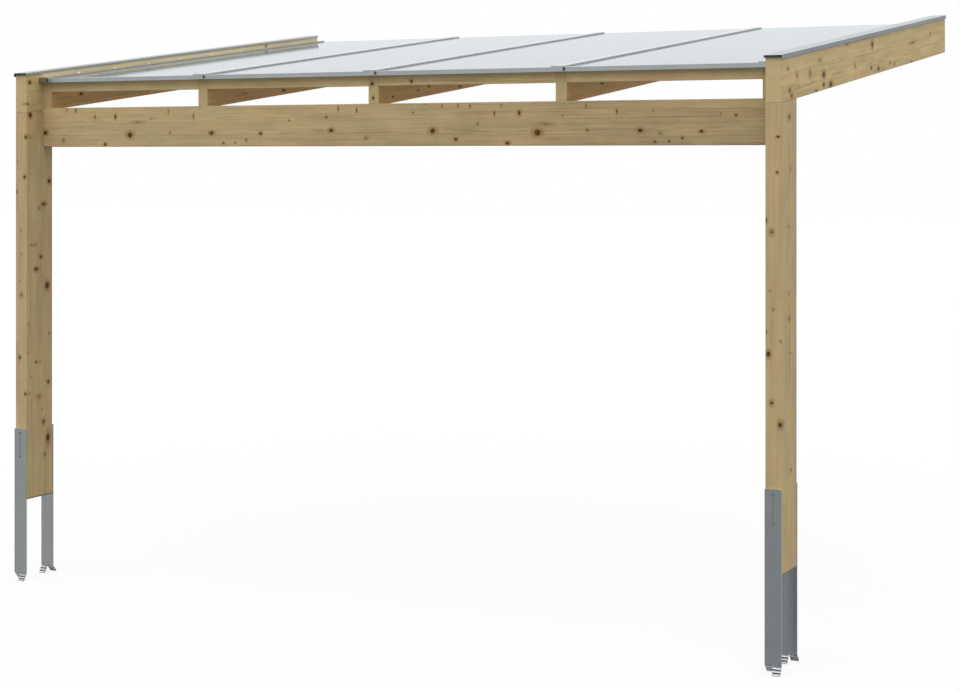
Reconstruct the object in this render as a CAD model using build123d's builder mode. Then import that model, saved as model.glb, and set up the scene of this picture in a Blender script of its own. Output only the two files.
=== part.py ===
from build123d import *

from math import cos, radians, tan
import os

# An attached patio cover: a lean-to roof of clear twin-wall sheets on rafters, carried by a
# ledger at the wall and by a header beam between two posts on steel anchors at the front.
# Millimetres. X runs along the wall, +Y towards the wall, +Z up.
# The origin is the middle of the ledger's flat back face, the face that is fixed to the wall.

# Plan
bays = 4
bay = 1070.0
projection = 3080.0
pitch = 7.0

# Heights above the lower ends of the anchors
post_foot_height = 455.0
anchor_top_height = 852.0
anchor_bend_height = 42.0
eaves_height = 2629.0

# Timber
post_width = 80.0
post_depth = 220.0
header_thickness = 80.0
header_depth = 220.0
heel_height = 1.0
side_rafter_depth = 220.0
rafter_width = 60.0
rafter_depth = 160.0
ledger_thickness = 80.0
blocking_height = 60.0
blocking_thickness = 20.0

# Roof sheets and their aluminium profiles
sheet_thickness = 16.0
sheet_wall_gap = 8.0
sheet_overhang = 35.0
bar_width = 60.0
bar_base = 2.0
bar_web = 18.0
bar_cap = 8.0
web_clearance = 1.0
sheet_clearance = 0.3
eave_wall = 1.5
eave_lip = 25.0
eave_drip = 3.5
stop_thickness = 3.0
stop_width = 80.0

# Sheet metal caps on the side rafters
cap_thickness = 2.0
cap_clearance = 3.0
cap_outer_drop = 20.0
cap_inner_drop = 10.0
cap_overhang = 10.0

# Steel anchors and joist hangers
anchor_thickness = 10.0
tab_slit = 3.0
tab_thickness = 6.0
tab_wave = 3.5
tab_waves = 6
tab_root = 20.0
forward_tab_lean = 22.0
rear_tab_lean = 28.0
rear_tab_drop = 32.0
hanger_thickness = 2.0
hanger_height = 110.0
hanger_reach = 75.0
hanger_flange = 40.0

# Places that follow from the sizes above
slope = tan(radians(pitch))
side_rafter_plumb = side_rafter_depth / cos(radians(pitch))
rafter_plumb = rafter_depth / cos(radians(pitch))
sheet_plumb = sheet_thickness / cos(radians(pitch))
inner_width = bays * bay + rafter_width
side_inner_x = inner_width / 2
side_outer_x = side_inner_x + post_width
front_y = -projection
header_back_y = front_y + post_depth
header_front_y = header_back_y - header_thickness
ledger_front_y = -ledger_thickness
sheet_back_y = -sheet_wall_gap
eave_y = header_front_y - sheet_overhang
rafter_centres = [(index - bays / 2) * bay for index in range(bays + 1)]

# Offsets above the rafters' underside, measured plumb
sheet_bottom = rafter_plumb + bar_base
sheet_top = sheet_bottom + sheet_plumb
bar_cap_bottom = sheet_top + sheet_clearance
bar_top = bar_cap_bottom + bar_cap
eave_top = sheet_top + sheet_clearance + eave_wall
drip_bottom = sheet_bottom - eave_wall - eave_drip
cap_bottom = side_rafter_plumb
cap_top = cap_bottom + cap_thickness

# The middle of the ledger's back face is at height zero
datum = eaves_height + slope * (ledger_front_y - front_y) + rafter_plumb / 2


def underside(y):
    """Height of the rafters' underside plane at a distance y from the wall."""
    return eaves_height - datum + slope * (y - front_y)


def raised(height):
    """Z of a height that is measured from the anchors' lower ends."""
    return height - datum


def sloped_outline(y_front, y_back, low, high):
    """Corners, in Y and Z, of a length that follows the pitch and has plumb ends."""
    return [
        (y_front, underside(y_front) + low),
        (y_back, underside(y_back) + low),
        (y_back, underside(y_back) + high),
        (y_front, underside(y_front) + high),
    ]


def save(part, label):
    part.label = label
    export_step(part, f"parts/{label}.step")


header_top = underside(header_back_y) + heel_height
ledger_bottom = underside(ledger_front_y)
ledger_top = ledger_bottom + rafter_plumb

os.makedirs("parts", exist_ok=True)


# Posts, cut to the pitch at the top where the side rafters lie on them
def make_post(label, x_left):
    with BuildPart() as post:
        with BuildSketch(Plane.YZ.offset(x_left)):
            Polygon(
                (front_y, raised(post_foot_height)),
                (header_back_y, raised(post_foot_height)),
                (header_back_y, underside(header_back_y)),
                (front_y, underside(front_y)),
                align=None,
            )
        extrude(amount=post_width)
    save(post.part, label)


make_post("left_post", -side_outer_x)
make_post("right_post", side_inner_x)

# Header beam between the posts, level with their back faces
with BuildPart() as header_beam:
    with BuildSketch(Plane.YZ.offset(-side_inner_x)):
        with Locations((header_front_y, header_top - header_depth)):
            Rectangle(header_thickness, header_depth, align=(Align.MIN, Align.MIN))
    extrude(amount=inner_width)
save(header_beam.part, "header_beam")


# Side rafters, from the posts' front faces to the wall
def make_side_rafter(label, x_left):
    with BuildPart() as side_rafter:
        with BuildSketch(Plane.YZ.offset(x_left)):
            Polygon(*sloped_outline(front_y, 0, 0, side_rafter_plumb), align=None)
        extrude(amount=post_width)
    save(side_rafter.part, label)


make_side_rafter("left_side_rafter", -side_outer_x)
make_side_rafter("right_side_rafter", side_inner_x)


# Inner rafters, with a level seat cut on the header beam, up to the ledger's front face
def make_rafter(label, x_centre):
    with BuildPart() as rafter:
        with BuildSketch(Plane.YZ.offset(x_centre - rafter_width / 2)):
            Polygon(*sloped_outline(header_front_y, ledger_front_y, 0, rafter_plumb), align=None)
            with Locations((header_front_y, header_top)):
                Rectangle(
                    header_thickness,
                    rafter_plumb,
                    align=(Align.MIN, Align.MAX),
                    mode=Mode.SUBTRACT,
                )
        extrude(amount=rafter_width)
    save(rafter.part, label)


for number, x_centre in enumerate(rafter_centres, start=1):
    make_rafter(f"rafter_{number}", x_centre)


# Blocking boards between the rafters' front ends
def make_blocking(label, x_left):
    with BuildPart() as blocking:
        with BuildSketch(Plane.YZ.offset(x_left)):
            with Locations((header_front_y, underside(header_front_y) + rafter_plumb)):
                Rectangle(blocking_thickness, blocking_height, align=(Align.MIN, Align.MAX))
        extrude(amount=bay - rafter_width)
    save(blocking.part, label)


for number, x_centre in enumerate(rafter_centres[:-1], start=1):
    make_blocking(f"eave_blocking_{number}", x_centre + rafter_width / 2)

# Ledger on the wall, between the side rafters
with BuildPart() as wall_ledger:
    with BuildSketch(Plane.YZ.offset(-side_inner_x)):
        with Locations((ledger_front_y, ledger_bottom)):
            Rectangle(ledger_thickness, ledger_top - ledger_bottom, align=(Align.MIN, Align.MIN))
    extrude(amount=inner_width)
save(wall_ledger.part, "wall_ledger")


# Roof sheets between the webs of the glazing bars
def make_sheet(label, x_left):
    with BuildPart() as sheet:
        with BuildSketch(Plane.YZ.offset(x_left)):
            Polygon(
                *sloped_outline(eave_y + eave_wall, sheet_back_y, sheet_bottom, sheet_top),
                align=None,
            )
        extrude(amount=bay - bar_web - 2 * web_clearance)
    save(sheet.part, label)


for number, x_centre in enumerate(rafter_centres[:-1], start=1):
    make_sheet(f"roof_sheet_{number}", x_centre + bar_web / 2 + web_clearance)


# Aluminium glazing bars: a base on the rafter, a web between the sheets and a cap over them
def make_glazing_bar(label, x_centre):
    with BuildPart() as bar:
        with BuildSketch(Plane.YZ.offset(x_centre - bar_width / 2)):
            Polygon(*sloped_outline(eave_y, sheet_back_y, rafter_plumb, sheet_bottom), align=None)
            Polygon(*sloped_outline(eave_y, sheet_back_y, bar_cap_bottom, bar_top), align=None)
        extrude(amount=bar_width)
        with BuildSketch(Plane.YZ.offset(x_centre - bar_web / 2)):
            Polygon(*sloped_outline(eave_y, sheet_back_y, rafter_plumb, bar_top), align=None)
        extrude(amount=bar_web)
    save(bar.part, label)


for number, x_centre in enumerate(rafter_centres, start=1):
    make_glazing_bar(f"glazing_bar_{number}", x_centre)


# Eave profiles: a channel with a drip edge around the front edge of each sheet, between the
# bars' caps
def make_eave_profile(label, x_left):
    with BuildPart() as eave_profile:
        with BuildSketch(Plane.YZ.offset(x_left)):
            Polygon(
                *sloped_outline(eave_y, eave_y + eave_lip, sheet_bottom - eave_wall, eave_top),
                align=None,
            )
            Polygon(*sloped_outline(eave_y, eave_y + eave_wall, drip_bottom, eave_top), align=None)
            Polygon(
                *sloped_outline(
                    eave_y + eave_wall,
                    eave_y + eave_lip + eave_wall,
                    sheet_bottom,
                    sheet_top + sheet_clearance,
                ),
                align=None,
                mode=Mode.SUBTRACT,
            )
        extrude(amount=bay - bar_width)
    save(eave_profile.part, label)


for number, x_centre in enumerate(rafter_centres[:-1], start=1):
    make_eave_profile(f"eave_profile_{number}", x_centre + bar_width / 2)


# Stop plates across the front ends of the glazing bars; the outer two end at the side rafters
def make_stop(label, x_centre):
    x_left = max(x_centre - stop_width / 2, -side_inner_x)
    x_right = min(x_centre + stop_width / 2, side_inner_x)
    with BuildPart() as stop:
        with BuildSketch(Plane.YZ.offset(x_left)):
            with Locations((eave_y, underside(eave_y) + drip_bottom)):
                Rectangle(stop_thickness, bar_top - drip_bottom, align=(Align.MAX, Align.MIN))
        extrude(amount=x_right - x_left)
    save(stop.part, label)


for number, x_centre in enumerate(rafter_centres, start=1):
    make_stop(f"end_stop_{number}", x_centre)


# Sheet metal caps over the side rafters, with a drop on each side and out past the front ends
def make_cap(label, rafter_x_left, left_drop, right_drop):
    x_left = rafter_x_left - cap_clearance - cap_thickness
    x_right = rafter_x_left + post_width + cap_clearance
    with BuildPart() as cap:
        for x_from, width, drop in (
            (x_left, x_right + cap_thickness - x_left, 0),
            (x_left, cap_thickness, left_drop),
            (x_right, cap_thickness, right_drop),
        ):
            with BuildSketch(Plane.YZ.offset(x_from)):
                Polygon(
                    *sloped_outline(front_y - cap_overhang, 0, cap_bottom - drop, cap_top),
                    align=None,
                )
            extrude(amount=width)
    save(cap.part, label)


make_cap("left_rafter_cap", -side_outer_x, cap_outer_drop, cap_inner_drop)
make_cap("right_rafter_cap", side_inner_x, cap_inner_drop, cap_outer_drop)


# Steel anchors: a flat plate on the front and on the back of each post, split at the lower end
# into two wavy tabs, one bent forwards and one bent back
def tab_points(y_middle, lean, drop):
    """Corners of a tab's wavy middle line, in Y and Z, from inside the plate to its tip."""
    bend_z = raised(anchor_bend_height)
    points = [(y_middle, bend_z + tab_root), (y_middle, bend_z)]
    for step in range(1, tab_waves + 1):
        share = step / tab_waves
        wave = tab_wave if step % 2 else -tab_wave
        points.append((y_middle + lean * share + wave, bend_z - drop * share))
    return points


def make_anchor(label, x_left, y_low, left_lean, left_drop, right_lean, right_drop):
    y_middle = y_low + anchor_thickness / 2
    tab_width = (post_width - tab_slit) / 2
    plate_height = anchor_top_height - anchor_bend_height
    with BuildPart() as anchor:
        with BuildSketch(Plane.XZ.offset(-y_low)):
            with Locations((x_left, raised(anchor_bend_height))):
                Rectangle(post_width, plate_height, align=(Align.MIN, Align.MIN))
        extrude(amount=-anchor_thickness)
        for tab_x, lean, drop in (
            (x_left, left_lean, left_drop),
            (x_left + tab_width + tab_slit, right_lean, right_drop),
        ):
            with BuildSketch(Plane.YZ.offset(tab_x)):
                with BuildLine():
                    Polyline(*tab_points(y_middle, lean, drop))
                    offset(amount=tab_thickness / 2, side=Side.BOTH)
                make_face()
            extrude(amount=tab_width)
    save(anchor.part, label)


forward_drop = anchor_bend_height - tab_thickness / 2
for side, x_left in (("left", -side_outer_x), ("right", side_inner_x)):
    make_anchor(
        f"{side}_front_anchor",
        x_left,
        front_y - anchor_thickness,
        rear_tab_lean,
        rear_tab_drop,
        -forward_tab_lean,
        forward_drop,
    )
    make_anchor(
        f"{side}_back_anchor",
        x_left,
        header_back_y,
        -forward_tab_lean,
        forward_drop,
        rear_tab_lean,
        rear_tab_drop,
    )


# Joist hangers that carry the middle rafters on the ledger; the two edge rafters are fixed
# to the side rafters beside them
def make_hanger(label, x_centre):
    half_inside = rafter_width / 2
    half_outside = half_inside + hanger_thickness
    with BuildPart() as hanger:
        with BuildSketch(Plane.YZ.offset(x_centre - half_outside)):
            Polygon(
                *sloped_outline(
                    ledger_front_y - hanger_reach,
                    ledger_front_y,
                    -hanger_thickness,
                    hanger_height,
                ),
                align=None,
            )
        extrude(amount=2 * half_outside)
        with BuildSketch(Plane.YZ.offset(x_centre - half_inside)):
            Polygon(
                *sloped_outline(
                    ledger_front_y - hanger_reach,
                    ledger_front_y,
                    0,
                    hanger_height,
                ),
                align=None,
            )
        extrude(amount=rafter_width, mode=Mode.SUBTRACT)
        for flange_x in (x_centre - half_inside - hanger_flange, x_centre + half_inside):
            with BuildSketch(Plane.YZ.offset(flange_x)):
                with Locations((ledger_front_y, ledger_bottom)):
                    Rectangle(hanger_thickness, hanger_height, align=(Align.MAX, Align.MIN))
            extrude(amount=hanger_flange)
    save(hanger.part, label)


for number, x_centre in enumerate(rafter_centres[1:-1], start=2):
    make_hanger(f"joist_hanger_{number}", x_centre)
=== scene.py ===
import functools
import math

import bmesh
import bpy
from mathutils import Matrix, Vector


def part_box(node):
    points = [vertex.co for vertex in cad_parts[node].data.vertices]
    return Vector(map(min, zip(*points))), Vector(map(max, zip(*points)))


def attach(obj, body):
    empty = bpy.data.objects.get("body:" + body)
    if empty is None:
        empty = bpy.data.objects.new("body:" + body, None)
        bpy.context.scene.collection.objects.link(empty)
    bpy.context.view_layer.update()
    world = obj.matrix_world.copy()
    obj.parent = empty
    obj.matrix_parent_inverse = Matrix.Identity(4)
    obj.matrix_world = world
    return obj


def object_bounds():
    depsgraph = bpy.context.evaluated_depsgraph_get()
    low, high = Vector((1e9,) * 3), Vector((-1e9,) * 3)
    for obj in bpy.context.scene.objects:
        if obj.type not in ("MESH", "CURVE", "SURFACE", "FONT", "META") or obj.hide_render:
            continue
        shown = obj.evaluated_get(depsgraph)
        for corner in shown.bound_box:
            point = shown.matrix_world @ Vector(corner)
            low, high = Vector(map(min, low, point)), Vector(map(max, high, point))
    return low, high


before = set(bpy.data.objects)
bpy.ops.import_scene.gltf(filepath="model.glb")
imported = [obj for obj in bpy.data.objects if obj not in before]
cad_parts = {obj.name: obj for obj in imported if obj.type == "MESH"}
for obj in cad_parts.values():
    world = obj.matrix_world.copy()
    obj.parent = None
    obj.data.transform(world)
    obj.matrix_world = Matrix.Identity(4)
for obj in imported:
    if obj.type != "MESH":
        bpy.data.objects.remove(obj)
cad_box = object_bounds()

# Attached patio cover. X runs along the wall, +Y towards the wall, +Z up, in metres.
# Everything is placed from the boxes of the CAD nodes.
PITCH = math.radians(7.0)
SLOPE = math.tan(PITCH)
X_AXIS = Vector((1.0, 0.0, 0.0))
Y_AXIS = Vector((0.0, 1.0, 0.0))
Z_AXIS = Vector((0.0, 0.0, 1.0))
ALONG_SLOPE = Vector((0.0, math.cos(PITCH), math.sin(PITCH)))
OFF_SLOPE = Vector((0.0, -math.sin(PITCH), math.cos(PITCH)))

# Camera of the photograph: level, with the horizon near the roof
CAMERA_PLACE = Vector((5.1001, -11.6774, -0.6890))
CAMERA_TURN = math.radians(26.883)
FOCAL_PIXELS = 1949.77
IMAGE_WIDTH = 960
IMAGE_HEIGHT = 691
CENTRE_COLUMN = 488.99
HORIZON_ROW = 155.34
SENSOR_WIDTH = 36.0
SIGHT = Vector((-math.sin(CAMERA_TURN), math.cos(CAMERA_TURN), 0.0))
SIGHT_RIGHT = Vector((math.cos(CAMERA_TURN), math.sin(CAMERA_TURN), 0.0))


def low_of(node):
    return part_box(node)[0]


def high_of(node):
    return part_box(node)[1]


def middle_of(node):
    return (low_of(node) + high_of(node)) / 2


def front_top_of(node):
    """Height of the front top edge of a node that follows the pitch."""
    low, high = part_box(node)
    return high.z - SLOPE * (high.y - low.y)


def point_on(face_axis, face_place, column, row):
    """The point that the photograph shows at a pixel, on a plane square to X or Y."""
    right = (column - CENTRE_COLUMN) / FOCAL_PIXELS
    up = (HORIZON_ROW - row) / FOCAL_PIXELS
    ray = SIGHT + SIGHT_RIGHT * right + Z_AXIS * up
    reach = (face_place - CAMERA_PLACE.dot(face_axis)) / ray.dot(face_axis)
    return CAMERA_PLACE + ray * reach


def srgb(red, green, blue):
    """A colour written in 0 to 255 steps, as linear RGBA."""
    channels = []
    for value in (red, green, blue):
        share = value / 255
        channels.append(share / 12.92 if share <= 0.04045 else ((share + 0.055) / 1.055) ** 2.4)
    return (*channels, 1.0)


# Node trees
class Tree:
    """Adds nodes to one tree. Most methods return the output socket that the next node reads; add
    returns the node itself, and separate all the outputs."""

    def __init__(self, tree):
        self.tree = tree
        tree.nodes.clear()

    def feed(self, socket, value):
        if isinstance(value, bpy.types.NodeSocket):
            self.tree.links.new(value, socket)
        else:
            socket.default_value = value

    def add(self, kind, inputs, **settings):
        made = self.tree.nodes.new(kind)
        for name, value in settings.items():
            setattr(made, name, value)
        for name, value in inputs.items():
            self.feed(made.inputs[name], value)
        return made

    def node(self, kind, inputs, output=0, **settings):
        return self.add(kind, inputs, **settings).outputs[output]

    def math(self, operation, *values):
        return self.node("ShaderNodeMath", dict(enumerate(values)), operation=operation)

    def vector(self, operation, *values):
        output = "Value" if operation in ("DOT_PRODUCT", "LENGTH") else "Vector"
        inputs = dict(enumerate(values))
        return self.node("ShaderNodeVectorMath", inputs, output, operation=operation)

    def scaled(self, vector, factor):
        inputs = {0: vector, "Scale": factor}
        return self.node("ShaderNodeVectorMath", inputs, operation="SCALE")

    def combine(self, x, y, z):
        return self.node("ShaderNodeCombineXYZ", {"X": x, "Y": y, "Z": z})

    def separate(self, vector):
        return self.add("ShaderNodeSeparateXYZ", {0: vector}).outputs

    def noise(self, vector, stretch, detail=2.0, roughness=0.5):
        """Noise that is finer along an axis the larger its share of stretch."""
        place = self.vector("MULTIPLY", vector, stretch)
        inputs = {"Vector": place, "Scale": 1.0, "Detail": detail, "Roughness": roughness}
        return self.node("ShaderNodeTexNoise", inputs)

    def ranged(self, value, low, high, to_low=0.0, to_high=1.0, smooth=False):
        inputs = {"Value": value, 1: low, 2: high, 3: to_low, 4: to_high}
        style = "SMOOTHSTEP" if smooth else "LINEAR"
        return self.node("ShaderNodeMapRange", inputs, interpolation_type=style)

    def mix(self, share, first, second, blend="MIX"):
        inputs = {0: share, 6: first, 7: second}
        return self.node("ShaderNodeMix", inputs, 2, data_type="RGBA", blend_type=blend)

    def ramp(self, value, *stops):
        made = self.add("ShaderNodeValToRGB", {0: value})
        elements = made.color_ramp.elements
        while len(elements) < len(stops):
            elements.new(0.5)
        for element, (position, level) in zip(elements, stops):
            element.position = position
            element.color = (level, level, level, 1.0)
        return made.outputs[0]

    def bump(self, height, distance):
        return self.node("ShaderNodeBump", {"Height": height, "Distance": distance})

    def least(self, values, otherwise):
        """The smallest of the values, or otherwise where there are none."""
        if not values:
            return otherwise
        return functools.reduce(lambda first, second: self.math("MINIMUM", first, second), values)

    def seen(self):
        """1 for the rays by which the picture, or a mirror or a clear piece in it, is seen."""
        ray = self.add("ShaderNodeLightPath", {}).outputs
        by_eye = self.math("MAXIMUM", ray["Is Camera Ray"], ray["Is Glossy Ray"])
        return self.math("MAXIMUM", by_eye, ray["Is Transmission Ray"])

    def object_place(self):
        return self.node("ShaderNodeTexCoord", {}, "Object")

    def normal(self):
        return self.node("ShaderNodeNewGeometry", {}, "Normal")

    def finish_principled(self, inputs):
        """Ends a material with a Principled surface of these inputs."""
        self.finish_surface(self.node("ShaderNodeBsdfPrincipled", inputs))

    def finish_surface(self, shader):
        self.add("ShaderNodeOutputMaterial", {"Surface": shader})


def new_material(name):
    material = bpy.data.materials.new(name)
    material.use_nodes = True
    return material, Tree(material.node_tree)


# Spruce glulam: its colours, and the tones that some members and faces are given on top of them,
# painted light among them
EARLY_WOOD = srgb(190, 168, 122)
LATE_WOOD = srgb(160, 132, 86)
WARM_CAST = (1.05, 0.98, 0.93, 1.0)
OLIVE_CAST = (0.97, 1.01, 0.95, 1.0)
KNOT_HEART = srgb(80, 54, 14)
KNOT_RIM = srgb(60, 40, 6)
KNOT_HALO = srgb(128, 95, 46)
END_GRAIN_TONE = (0.79, 1.02, 1.23, 1.0)
SIDE_END_GRAIN_TONE = (0.94, 0.96, 1.06, 1.0)
# Painted light: faces open to the sky above the roof are drawn paler and greyer
SKY_LIT_TONE = (1.42, 1.60, 2.15, 1.0)
PLAIN_TONE = (0.93, 0.95, 1.04, 1.0)
HEADER_TONE = (0.85, 0.87, 0.97, 1.0)
# Partly painted light: the inner rafters are drawn darker and redder, standing in for the shade
# and warm bounce light under the roof
RAFTER_TONE_AND_BOUNCE_LIGHT = (1.00, 0.82, 0.73, 1.0)
SIDE_RAFTER_TONE = (0.95, 0.975, 0.98, 1.0)

# Painted shades and highlights are shares of the plain tone, the header's painted falloff of light
# is its change in a metre, the rest are metres
POST_SIDE_PAINTED_SHADE = 0.90
HEADER_LIGHT_FALLOFF = -0.05
END_CONTRAST = 0.25
SKY_LIT_RISE = 0.012
SKY_LIT_RUN = 0.060
FOOT_SHADE_BELOW = 0.003
FOOT_SHADE_TOP = 0.012
FOOT_PAINTED_SHADE = 0.35
PAINTED_EDGE_SHADE = 0.5
PAINTED_EDGE_HIGHLIGHT = 1.12
PAINTED_UNDERSIDE_SHADE = 0.8
WOOD_RELIEF = 0.0003
WOOD_SPECULAR = 0.2

# How squarely a face has to look along the grain, or to the open side, to count as such
END_FACING = 0.8
SIDE_FACING = 0.5

# Noise in the wood: how fine it is along, across and through the grain
SLOW_WAVE = (0.9, 9.0, 9.0)
FINE_WAVE = (5.0, 45.0, 45.0)
FIBRE = (22.0, 1100.0, 1100.0)
STREAK = (1.6, 70.0, 70.0)
DARK_LINE = (0.8, 48.0, 48.0)
PATCH = (4.0, 11.0, 11.0)
CAST = (2.5, 13.0, 13.0)
ROUGH_EDGE = (160.0, 160.0, 160.0)

# Growth rings and the joints between lamellas, in metres
RING_PITCH = 0.0034
RING_SLOW_SHIFT = 0.022
RING_FINE_SHIFT = 0.003
RING_BEND_AT_KNOT = 0.006
PITH_ACROSS = 0.16
PITH_THROUGH = 0.12
BOARD_SHIFT = 17.0
JOINT_HALF = 0.0006
JOINT_SHADE = 0.84

# Knots: the cells and radii of the wild ones, in metres, and how far a known one reaches
NO_KNOT = 99.0
WILD_CELL = (0.30, 0.075, 0.075)
WILD_RADIUS_LOW = 0.003
WILD_RADIUS_HIGH = 0.011
WILD_BESIDE_KNOWN = 0.15
KNOT_DEPTH = 0.025
GLOW_ALONG = 3.2
GLOW_ACROSS = 2.5
GLOW_FADE = 0.4


def make_spruce_group():
    """Grain, rings and knots of sawn spruce, from coordinates along, across and through a member.
    Knot and Glow are distances from the nearest known knot, in its own radii, and Wild lets in
    others. The input after Tone is a painted falloff of light in a metre along the grain, the next
    one how far a face is painted paler and greyer as if lit by the open sky, End is 1 on a face
    cut across the grain, and the last input is the painted shade and painted highlight of edges,
    undersides, post sides and feet."""
    group = bpy.data.node_groups.new("spruce", "ShaderNodeTree")
    for name, kind in (
        ("Member", "NodeSocketVector"),
        ("Lamella", "NodeSocketFloat"),
        ("Seed", "NodeSocketFloat"),
        ("Knot", "NodeSocketFloat"),
        ("Glow", "NodeSocketFloat"),
        ("Wild", "NodeSocketFloat"),
        ("Tone", "NodeSocketColor"),
        ("Drift", "NodeSocketFloat"),
        ("Sky Lit", "NodeSocketFloat"),
        ("End", "NodeSocketFloat"),
        ("End Tone", "NodeSocketColor"),
        ("Painted Light", "NodeSocketFloat"),
    ):
        group.interface.new_socket(name, in_out="INPUT", socket_type=kind)
    for name, kind in (
        ("Colour", "NodeSocketColor"),
        ("Roughness", "NodeSocketFloat"),
        ("Height", "NodeSocketFloat"),
    ):
        group.interface.new_socket(name, in_out="OUTPUT", socket_type=kind)
    tree = Tree(group)
    given = tree.add("NodeGroupInput", {}).outputs
    along, across, through = tree.separate(given["Member"])

    # Each lamella is a board of its own, cut at another distance from the pith
    lamella = tree.math("FLOOR", tree.math("DIVIDE", across, given["Lamella"]))
    middle = tree.math("MULTIPLY", tree.math("ADD", lamella, 0.5), given["Lamella"])
    in_board = tree.math("SUBTRACT", across, middle)
    chance = tree.node(
        "ShaderNodeTexWhiteNoise",
        {"Vector": tree.combine(lamella, given["Seed"], 0.5)},
        "Color",
        noise_dimensions="3D",
    )
    chance_1, chance_2, chance_3 = tree.separate(chance)
    board_along = tree.math("MULTIPLY_ADD", chance_1, BOARD_SHIFT, along)
    board = tree.combine(board_along, across, through)

    # Wild knots: one chance in each cell of a board, round, a few millimetres to a centimetre
    cell_place = tree.vector("DIVIDE", tree.combine(board_along, in_board, through), WILD_CELL)
    cell = tree.add("ShaderNodeTexVoronoi", {"Vector": cell_place, "Scale": 1.0}).outputs
    away = tree.vector("SUBTRACT", cell_place, cell["Position"])
    away = tree.vector("LENGTH", tree.vector("MULTIPLY", away, WILD_CELL))
    knot_chance, knot_size, _ = tree.separate(cell["Color"])
    radius = tree.ranged(knot_size, 0.0, 1.0, WILD_RADIUS_LOW, WILD_RADIUS_HIGH)
    wild = tree.math("DIVIDE", away, radius)
    share = tree.math("MULTIPLY", given["Wild"], 0.5)
    absent = tree.math("MULTIPLY", tree.math("GREATER_THAN", knot_chance, share), NO_KNOT)
    wild = tree.math("ADD", wild, absent)
    rough_edge = tree.noise(given["Member"], ROUGH_EDGE)
    edge_shift = tree.math("MULTIPLY", tree.math("SUBTRACT", rough_edge, 0.5), 0.7)
    knot = tree.math("ADD", tree.math("MINIMUM", wild, given["Knot"]), edge_shift)
    glow = tree.math("MINIMUM", tree.math("MULTIPLY", wild, 0.5), given["Glow"])

    # Growth rings around the pith, drawn out along the board and bent round the knots
    pith_across = tree.math("MULTIPLY_ADD", chance_2, PITH_ACROSS, -PITH_ACROSS / 2)
    pith_through = tree.math("MULTIPLY_ADD", chance_3, PITH_THROUGH, -PITH_THROUGH / 2)
    slow = tree.noise(board, SLOW_WAVE)
    fine = tree.noise(board, FINE_WAVE)
    from_pith = tree.vector(
        "LENGTH",
        tree.combine(
            tree.math("SUBTRACT", in_board, pith_across),
            tree.math("SUBTRACT", through, pith_through),
            0.0,
        ),
    )
    bend = tree.ranged(knot, 0.0, 3.5, RING_BEND_AT_KNOT, 0.0, smooth=True)
    ring = tree.math("MULTIPLY_ADD", slow, RING_SLOW_SHIFT, from_pith)
    ring = tree.math("MULTIPLY_ADD", fine, RING_FINE_SHIFT, ring)
    ring = tree.math("ADD", ring, bend)
    ring_share = tree.math("FRACT", tree.math("DIVIDE", ring, RING_PITCH))
    late = tree.ramp(ring_share, (0.0, 0.0), (0.45, 0.10), (0.88, 1.0), (1.0, 0.0))

    # Fibres, streaks along the grain, a few dark lines, and patches that lean to red or green
    fibre = tree.noise(board, FIBRE, 3.0)
    streak = tree.noise(board, STREAK, 3.0, 0.6)
    line = tree.noise(board, DARK_LINE, 3.0, 0.6)
    patch = tree.noise(board, PATCH, 4.0, 0.6)
    cast = tree.noise(board, CAST, 3.0, 0.6)
    late_share = tree.math("MULTIPLY", late, tree.ranged(streak, 0.25, 0.75, 0.25, 0.85))
    colour = tree.mix(late_share, EARLY_WOOD, LATE_WOOD)
    warm = tree.ranged(cast, 0.35, 0.65, smooth=True)
    colour = tree.mix(1.0, colour, tree.mix(warm, OLIVE_CAST, WARM_CAST), "MULTIPLY")
    tone = tree.ranged(streak, 0.2, 0.8, 0.08, -0.10)
    for source, low, high, at_low, at_high, smooth in (
        (line, 0.56, 0.74, 0.0, -0.19, True),
        (fibre, 0.2, 0.8, 0.05, -0.05, False),
        (patch, 0.25, 0.75, -0.13, 0.13, False),
        (chance_1, 0.0, 1.0, -0.05, 0.05, False),
    ):
        tone = tree.math("ADD", tone, tree.ranged(source, low, high, at_low, at_high, smooth))
    calm = tree.ranged(given["End"], 0.0, 1.0, 1.0, END_CONTRAST)
    tone = tree.math("MULTIPLY_ADD", tone, calm, 1.0)
    # Painted falloff of light along the grain, used to draw the header darker towards its right
    # end
    tone = tree.math("MULTIPLY_ADD", given["Drift"], along, tone)
    joint = tree.math("ABSOLUTE", in_board)
    joint = tree.math("SUBTRACT", tree.math("MULTIPLY", given["Lamella"], 0.5), joint)
    joint = tree.ranged(joint, 0.0, JOINT_HALF, JOINT_SHADE, 1.0, smooth=True)
    # The member's painted shade and painted highlight darken or lighten the tone here
    tone = tree.math("MULTIPLY", tree.math("MULTIPLY", tone, joint), given["Painted Light"])
    colour = tree.mix(1.0, tree.scaled(colour, tone), given["Tone"], "MULTIPLY")
    colour = tree.mix(given["End"], colour, tree.mix(1.0, colour, given["End Tone"], "MULTIPLY"))
    # Painted light: paler and greyer where a face is drawn as lit by the open sky
    pale = tree.mix(1.0, colour, SKY_LIT_TONE, "MULTIPLY")
    colour = tree.mix(given["Sky Lit"], colour, pale)

    # The knot's own colours: heart, dark rim, and a warm halo drawn out along the grain
    halo = tree.math("ADD", glow, tree.math("MULTIPLY", edge_shift, 0.6))
    halo = tree.ranged(halo, 0.2, 1.15, 0.85, 0.0, smooth=True)
    colour = tree.mix(halo, colour, KNOT_HALO)
    inside = tree.ranged(knot, 1.3, 0.75, 0.0, 1.0, smooth=True)
    heart = tree.ranged(knot, 0.7, 0.1, 0.0, 1.0, smooth=True)
    colour = tree.mix(inside, colour, tree.mix(heart, KNOT_RIM, KNOT_HEART))

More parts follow.
